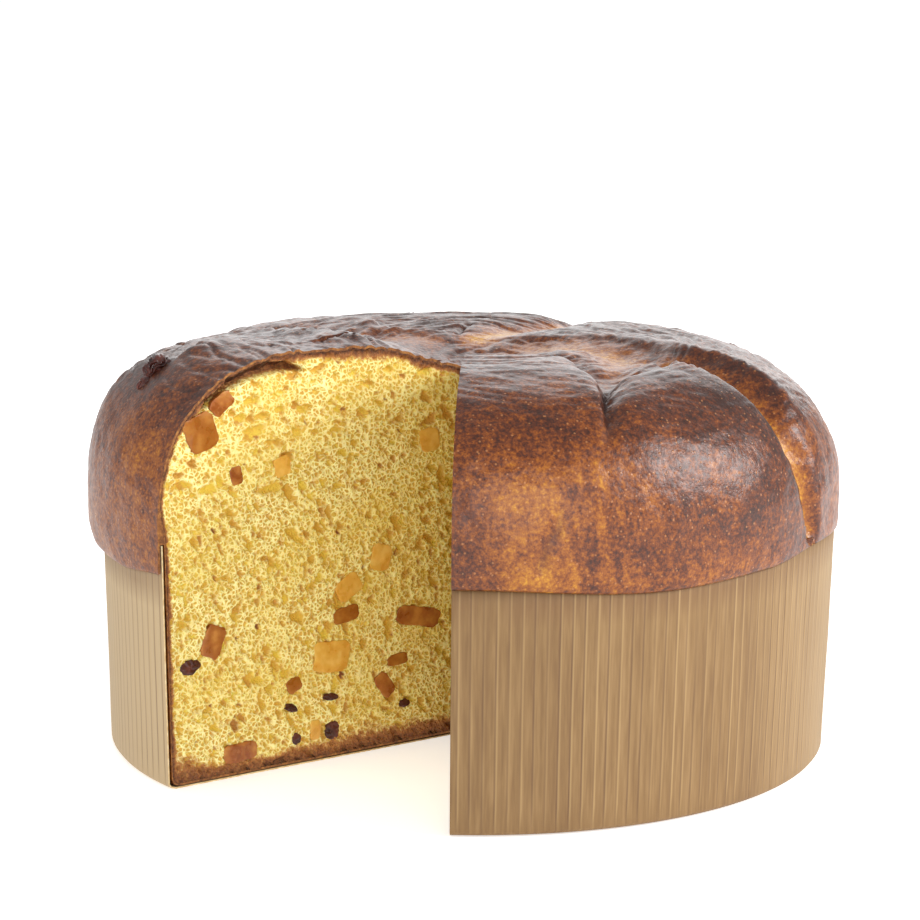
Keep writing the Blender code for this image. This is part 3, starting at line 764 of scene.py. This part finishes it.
def pressPores(face, seed):
    # height, pore and warmth maps of a cut face; the first index is from the apex and the second upwards
    chance = np.random.default_rng(seed)
    cell = crumb["cell"]
    shape = (int(112 / cell), int(123 / cell))
    depth, warm = np.zeros(shape), np.full(shape, 0.3)
    for count, small, large, share in crumb["pores"]:
        for _ in range(count):
            u, z = chance.uniform(0, 110), chance.uniform(1, 121)
            radius = small + (large - small) * chance.random() ** 1.8
            stretch = 1 + 0.9 * chance.random()
            upright = np.exp(-(((z - 45) / 32) ** 2))
            lean = chance.normal(np.pi / 2 * upright + 0.25 * (1 - upright), 0.5)
            long, short = radius * stretch, radius / stretch**0.5
            reach = int(long * 1.3 / cell) + 2
            iu, iz = int(u / cell), int(z / cell)
            u0, u1 = max(0, iu - reach), min(shape[0], iu + reach)
            z0, z1 = max(0, iz - reach), min(shape[1], iz + reach)
            if u1 - u0 < 2 or z1 - z0 < 2:
                continue
            gu, gz = np.meshgrid(np.arange(u0, u1) * cell - u, np.arange(z0, z1) * cell - z, indexing="ij")
            along = gu * math.cos(lean) + gz * math.sin(lean)
            across = -gu * math.sin(lean) + gz * math.cos(lean)
            turn = np.arctan2(across, along)
            ragged = 1 + 0.16 * np.sin(3 * turn + chance.uniform(0, 6)) + 0.1 * np.sin(5 * turn + chance.uniform(0, 6))
            away = np.hypot(along / long, across / short) / ragged
            dent = share * min(radius, 1.7) * 1.2 * (1 - easeStep((away - 0.35) / 0.7))
            patch = (slice(u0, u1), slice(z0, z1))
            deeper = dent > depth[patch]
            depth[patch] = np.where(deeper, dent, depth[patch])
            warm[patch] = np.where(deeper, np.clip(0.35 + 0.25 * chance.normal(), 0, 1), warm[patch])
    return depth, warm


def outlineDistance(u, z, line):
    best = np.full(u.shape, 1e9)
    for a, b in zip(line, line[1:]):
        e = b - a
        share = np.clip(((u - a[0]) * e[0] + (z - a[1]) * e[1]) / max(e @ e, 1e-9), 0, 1)
        best = np.minimum(best, np.hypot(u - a[0] - share * e[0], z - a[1] - share * e[1]))
    return best


slit = [(92, 106.6, 0.3), (88.8, 109.2, 0.7), (83, 112.6, 1.0), (77, 115.0, 1.3), (70, 116.2, 1.5), (63.5, 116.2, 1.1), (58.5, 114.6, 0.3)]


def buildCrumb(face, seed):
    bottom, side, top = outlines[face]
    columns, rows = crumb["columns"], crumb["rows"]
    mesh, column, row = gridMesh("crumb" + face.capitalize(), columns, rows)
    low, high = resample(bottom, columns), resample(top, columns)
    right = resample(side, rows)
    left = np.stack([np.full(rows, 0.2), np.linspace(low[0, 1], high[0, 1], rows)], 1)
    p, q = (column / (columns - 1))[:, None], (row / (rows - 1))[:, None]
    flat = (1 - q) * low[column] + q * high[column] + (1 - p) * left[row] + p * right[row]
    flat -= (1 - p) * (1 - q) * low[0] + p * (1 - q) * low[-1] + (1 - p) * q * high[0] + p * q * high[-1]
    shrink = 1 - 0.0005
    u, z = 52 + (flat[:, 0] - 52) * shrink, 58 + (flat[:, 1] - 58) * shrink
    depth, warm = pressPores(face, seed)
    cell = crumb["cell"]
    gu, gz = np.clip(u / cell, 0, depth.shape[0] - 2), np.clip(z / cell, 0, depth.shape[1] - 2)
    iu, iz = gu.astype(int), gz.astype(int)
    fu, fz = gu - iu, gz - iz
    sunk = depth[iu, iz] * (1 - fu) * (1 - fz) + depth[iu + 1, iz] * fu * (1 - fz)
    sunk += depth[iu, iz + 1] * (1 - fu) * fz + depth[iu + 1, iz + 1] * fu * fz
    warmth = warm[iu, iz]
    skin = outlineDistance(u, z, np.concatenate([side, top[::-1]]))
    floor = z - low[column, 1]
    pore = np.clip(sunk / 0.8, 0, 1)
    sunk = sunk + 0.2 * (1 + layeredNoise(u, z, 1.2, seed, 2))
    wander = layeredNoise(u, z, 9, seed + 5)
    fine = layeredNoise(u, z, 2.5, seed + 9, 2)
    crown = easeStep((z - 98) / 10)
    rind = (2.0 + 1.8 * crown) * (1 + 0.5 * wander)
    bake = 0.95 * (1 - easeStep((skin + 0.4 * fine) / np.maximum(rind, 0.5)))
    baseDepth = 6 + 3.5 * wander + 3 * bell(u - 20, 22) + 5 * bell(u - 100, 9)
    baseBake = 0.8 * (1 - easeStep((floor + 1.2 * fine) / np.maximum(baseDepth, 1.5)))
    bake = np.maximum(bake, baseBake)
    if face == "left":
        distance, lineSide, (half,) = alongPath(u, z, slit)
        gap = 1 - easeStep((distance - half + 0.3 * fine) / 0.5)
        sunk += 5 * gap
        bake = np.maximum(bake, 0.75 * gap)
    settle = easeStep(skin / 0.6) * easeStep(floor / 0.5) * easeStep(u / 1.2)
    sunk = sunk * settle
    for name, points in cutNodes(face).items():
        centre = points.mean(0)
        near = np.hypot(u - centre[0], z - centre[1]) < 16
        angle = np.arctan2(z[near] - centre[1], u[near] - centre[0])
        edge = outlineRadius(points, centre, angle)
        inside = 1 - easeStep((np.hypot(u[near] - centre[0], z[near] - centre[1]) - edge + 0.9) / 0.8)
        sunk[near] = sunk[near] * (1 - inside) + 1.6 * inside
    away, out = planeBasis(face)
    x = loaf["apex"][0] + u * away.x - sunk * out.x
    y = loaf["apex"][1] + u * away.y - sunk * out.y
    setPlaces(mesh, x, y, z)
    setValues(mesh, "pore", pore)
    setValues(mesh, "warm", warmth)
    setValues(mesh, "bake", bake)
    build = bmesh.new()
    build.from_mesh(mesh)
    for item in build.faces:
        item.smooth = True
    rim = [edge for edge in build.edges if edge.is_boundary]
    made = bmesh.ops.extrude_edge_only(build, edges=rim)["geom"]
    middle = (Vector((*loaf["apex"], 0)) + away * 52 + Vector((0, 0, 58))) * mm
    for vert in made:
        if isinstance(vert, bmesh.types.BMVert):
            vert.co = middle + (vert.co - middle) * 0.92 - out * crumb["depth"] * mm
    back = [edge for edge in made if isinstance(edge, bmesh.types.BMEdge) and edge.is_boundary]
    bmesh.ops.contextual_create(build, geom=back)
    outwards(build)
    build.to_mesh(mesh)
    build.free()
    addPiece(mesh, [crumbLook], ["loaf"])
    print(mesh.name, "made:", len(mesh.polygons), "faces")


buildCrumb("left", 7)
buildCrumb("right", 19)

# ---- paper case


def buildCase():
    perPleat, rows = case["samples"], case["rows"]
    first, last = loaf["cuts"]["right"], loaf["cuts"]["left"]
    pitch = 360 / case["pleats"]
    columns = int((last - first) / pitch * perPleat) + 1
    directions = np.linspace(first, last, columns)
    heights = np.concatenate([[0.25, 0.25, 0.25, 0.7], np.linspace(1.6, case["height"], rows)])
    mesh, column, row = gridMesh("paperCase", columns, len(heights))
    height = heights[row]
    number = (directions[column] - first) / pitch
    phase = number - np.floor(number)
    pleat = np.floor(number).astype(np.int64)
    lean = 0.25 * softNoise(pleat * 7.0, height * 0 + 3.0, 5, 61) * height / case["height"]
    fromFold = np.abs(phase - 0.5 - lean * 0.3)
    strength = 0.35 + 0.65 * cellValue(pleat, pleat * 0, 63)
    wave = 0.75 + 0.25 * softNoise(pleat * 31.0, height, 16, 64)
    groove = bell(fromFold, 0.13) * strength * wave
    radius = caseRadius(height) - case["paper"] * 0.5
    dented = case["pleatDepth"] * (groove + 0.25 * np.cos(2 * np.pi * phase))
    waviness = 0.35 * layeredNoise(directions[column] * 1.9, height, 38, 67)
    radius = radius - (dented + np.clip(waviness, -0.3, 0.3)) * easeStep(height / 8) - 0.3 * groove * easeStep(1 - height / 6)
    radius = np.where(row == 3, caseRadius(0) - 0.9, radius)
    radius = np.where(row == 2, caseRadius(0) - 2.4, radius)
    radius = np.where(row == 1, 60, radius)
    radius = np.where(row == 0, 2.3, radius)
    x, y = fromApex(directions[column], radius)
    setPlaces(mesh, x, y, height)
    side = easeStep((height - 1) / 1.5)
    # painted shade: a dark line along each fold, stronger in some pleats
    line = bell(fromFold, 0.055) * strength * wave * side
    # painted highlight: a light line beside each fold, brighter in some pleats
    glow = bell(np.abs(phase - 0.62 - lean * 0.3), 0.06) * (0.3 + 0.7 * cellValue(pleat, pleat * 0, 71)) * side * 0.8
    lip = easedRound(directions[column])[1]
    # painted light: paper paler from the right end round to the left, palest on the left side, which faces the fill
    # lamp
    setValues(mesh, "pale", easeStep((directions[column] - 150) / 50) * 0.9 + 0.35 * easeStep((directions[column] + 50) / 40))
    # painted shade: a darker band in the paper just under the crust's lip
    setValues(mesh, "stain", 0.5 * easeStep((height - lip + 7 + 1.5 * softNoise(pleat * 3.0, height, 8, 73)) / 5))
    setValues(mesh, "fold", np.clip(line * 0.9, 0, 1))
    setValues(mesh, "glow", np.clip(glow, 0, 1))
    build = bmesh.new()
    build.from_mesh(mesh)
    for item in build.faces:
        item.smooth = True
    outwards(build)
    build.to_mesh(mesh)
    build.free()
    piece = addPiece(mesh, [paperLook, paperEdgeLook], ["paper_case"])
    thick = piece.modifiers.new("paper", "SOLIDIFY")
    thick.thickness = case["paper"] * mm
    thick.offset = 0
    thick.material_offset_rim = 1
    return piece


casePiece = buildCase()
print("paper case made")

# ---- fruit in the cut faces

fruit = {"around": 72, "rings": 28, "dome": 0.25}


def buildCutFruit(name, points, face, seed):
    kind = "raisin" if name.startswith("raisin") else name.rsplit("_", 1)[0]
    build = bmesh.new()
    bmesh.ops.create_uvsphere(build, u_segments=fruit["around"], v_segments=fruit["rings"], radius=1)
    mesh = bpy.data.meshes.new(name.replace("_", " ").title().replace(" ", ""))
    for item in build.faces:
        item.smooth = True
    outwards(build)
    build.to_mesh(mesh)
    build.free()
    places = np.empty(len(mesh.vertices) * 3)
    mesh.vertices.foreach_get("co", places)
    sx, sy, sz = places.reshape(-1, 3).T
    angle, ring = np.arctan2(sy, sx), np.hypot(sx, sy)
    centre = points.mean(0)
    circle = np.linspace(-np.pi, np.pi, 721)
    edge = outlineRadius(points, centre, circle)
    soft = np.mean([np.roll(edge[:-1], k) for k in range(-7, 8)], 0) + 0.15
    soft = np.append(soft, soft[0])
    size = soft.mean()
    wobble = 0.07 if kind != "raisin" else 0.12
    soft = soft * (1 + wobble * softNoise(np.cos(circle) * 3 + seed * 9, np.sin(circle) * 3, 1.6, seed))
    soft = soft * (1 + 0.03 * softNoise(np.cos(circle) * 9 + seed * 9, np.sin(circle) * 9, 1.3, seed + 1))
    edge = np.interp(angle, circle, soft)
    spread = np.where(sz > 0, ring**0.55, ring**0.7)
    u, z = centre[0] + edge * spread * np.cos(angle), centre[1] + edge * spread * np.sin(angle)
    face2 = fruit["dome"] * np.sqrt(np.clip(1 - ring, 0, 1)) + 0.12 * layeredNoise(u, z, 2.2, seed + 2, 2)
    back = -0.5 - 0.9 * size * np.sqrt(np.clip(1 - ring**2.4, 0, 1))
    h = np.where(sz > 0.02, face2 - 0.1, np.where(sz > -0.02, -0.3, back))
    if kind == "raisin":
        h = h + np.where(sz > 0, -0.35 * np.abs(layeredNoise(u, z, 1.4, seed + 4, 2)), 0)
    away, out = planeBasis(face)
    setPlaces(mesh, u * away.x + h * out.x + loaf["apex"][0], u * away.y + h * out.y + loaf["apex"][1], z)
    if face == "right":
        build = bmesh.new()
        build.from_mesh(mesh)
        outwards(build)
        build.to_mesh(mesh)
        build.free()
    addPiece(mesh, [fruitLooks[kind]], [name])


pieceCount = 0
for face in ("left", "right"):
    for name, points in sorted(cutNodes(face).items()):
        pieceCount += 1
        buildCutFruit(name, points, face, 200 + pieceCount * 3)
print("cut fruit made:", pieceCount)


def buildCrustRaisin(name, seed):
    # a raisin shrunk round its flesh: deep folds along it, finer ones across
    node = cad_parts[name]
    points = np.array([v.co for v in node.data.vertices]) / mm
    points = np.unique(np.round(points, 3), axis=0)
    centre = points.mean(0)
    axes, turns = np.linalg.eigh(np.cov((points - centre).T))
    turns = turns[:, ::-1]
    reach = np.abs((points - centre) @ turns).max(0)
    build = bmesh.new()
    bmesh.ops.create_icosphere(build, subdivisions=6, radius=1)
    mesh = bpy.data.meshes.new(name.replace("_", " ").title().replace(" ", ""))
    for item in build.faces:
        item.smooth = True
    build.to_mesh(mesh)
    build.free()
    places = np.empty(len(mesh.vertices) * 3)
    mesh.vertices.foreach_get("co", places)
    places = places.reshape(-1, 3)
    turn, along = np.arctan2(places[:, 2], places[:, 1]) * 1.6, places[:, 0]
    bend = turn + 0.5 * softNoise(along * 2, turn * 0, 0.8, seed)
    edge = np.abs(np.angle(np.exp(1j * turn / 1.6)))
    deep = np.abs(softNoise(np.cos(bend / 1.6) * 2.2 + seed, np.sin(bend / 1.6) * 2.2 + along * 0.6, 0.9, seed + 1))
    fine = np.abs(softNoise(np.cos(bend / 1.6) * 6 + along * 1.5, np.sin(bend / 1.6) * 6 - along * 2.5, 1.0, seed + 2))
    scale = 1.04 - 0.26 * (1 - deep) ** 3 - 0.08 * (1 - fine) ** 2
    body = places * scale[:, None] * reach
    body = body @ turns.T + centre - np.array([0, 0, 1.8]) * (centre[1] > 0)
    setPlaces(mesh, *body.T)
    build = bmesh.new()
    build.from_mesh(mesh)
    outwards(build)
    build.to_mesh(mesh)
    build.free()
    addPiece(mesh, [fruitLooks["raisin"]], [name])


for i, name in enumerate(sorted(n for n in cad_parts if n.startswith("crust_raisin"))):
    buildCrustRaisin(name, 300 + 7 * i)
print("crust raisins made")

# ---- floor, light and camera

studio = {
    "key": {"from": (0.88, -0.24, 0.43), "distance": 1.3, "size": 0.65, "power": 13},
    "fill": {"from": (-0.85, -0.45, 0.4), "distance": 1.4, "size": 1.1, "power": 4},
    "front": {"from": (0.25, -0.95, 0.3), "distance": 1.6, "size": 1.2, "power": 8.5},
    "back": {"from": (0.1, 1.0, 0.33), "distance": 1.6, "size": 1.3, "power": 7},
    "world": 0.6,
    "tableGlow": 0.5,  # the white table is lit from below
}


def addFloor():
    build = bmesh.new()
    bmesh.ops.create_grid(build, x_segments=1, y_segments=1, size=4)
    mesh = bpy.data.meshes.new("floor")
    build.to_mesh(mesh)
    build.free()
    material, tree = newMaterial("whiteTable")
    values = {"Base Color": linearColour("f4f4f4"), "Roughness": 0.6, "Specular IOR Level": 0.2}
    glow = {"Emission Color": (1, 1, 1, 1), "Emission Strength": studio["tableGlow"]}
    finishMaterial(tree, {**values, **glow}, {})
    mesh.materials.append(material)
    floor = bpy.data.objects.new("floor", mesh)
    bpy.context.scene.collection.objects.link(floor)


def addLamp(name, settings):
    lamp = bpy.data.lights.new(name, "AREA")
    lamp.shape = "DISK"
    lamp.size = settings["size"]
    lamp.energy = settings["power"]
    placed = bpy.data.objects.new(name, lamp)
    direction = Vector(settings["from"]).normalized()
    placed.location = direction * settings["distance"] + Vector((0, 0, 0.06))
    placed.rotation_euler = direction.to_track_quat("Z", "Y").to_euler()
    bpy.context.scene.collection.objects.link(placed)


def addCamera():
    view = {"place": (-2.68, -961.85, 273.6), "pitch": 11.268, "roll": 0.57, "lens": 130.98}
    pitch, roll = math.radians(view["pitch"]), math.radians(view["roll"])
    ahead = Vector((0, math.cos(pitch), -math.sin(pitch)))
    up = Vector((0, math.sin(pitch), math.cos(pitch)))
    right = Vector((1, 0, 0)) * math.cos(roll) + up * math.sin(roll)
    above = up * math.cos(roll) - Vector((1, 0, 0)) * math.sin(roll)
    camera = bpy.data.objects.new("camera", bpy.data.cameras.new("camera"))
    camera.data.lens = view["lens"]
    camera.matrix_world = Matrix.Translation(Vector(view["place"]) * mm) @ Matrix((right, above, -ahead)).transposed().to_4x4()
    bpy.context.scene.collection.objects.link(camera)
    bpy.context.scene.camera = camera


addFloor()
for name in ("key", "fill", "front", "back"):
    addLamp(name, studio[name])
world = bpy.data.worlds.new("studio")
world.use_nodes = True
world.node_tree.nodes["Background"].inputs[0].default_value = (1, 1, 1, 1)
world.node_tree.nodes["Background"].inputs[1].default_value = studio["world"]
bpy.context.scene.world = world
bpy.context.scene.view_settings.view_transform = "Standard"
addCamera()
print("studio made")
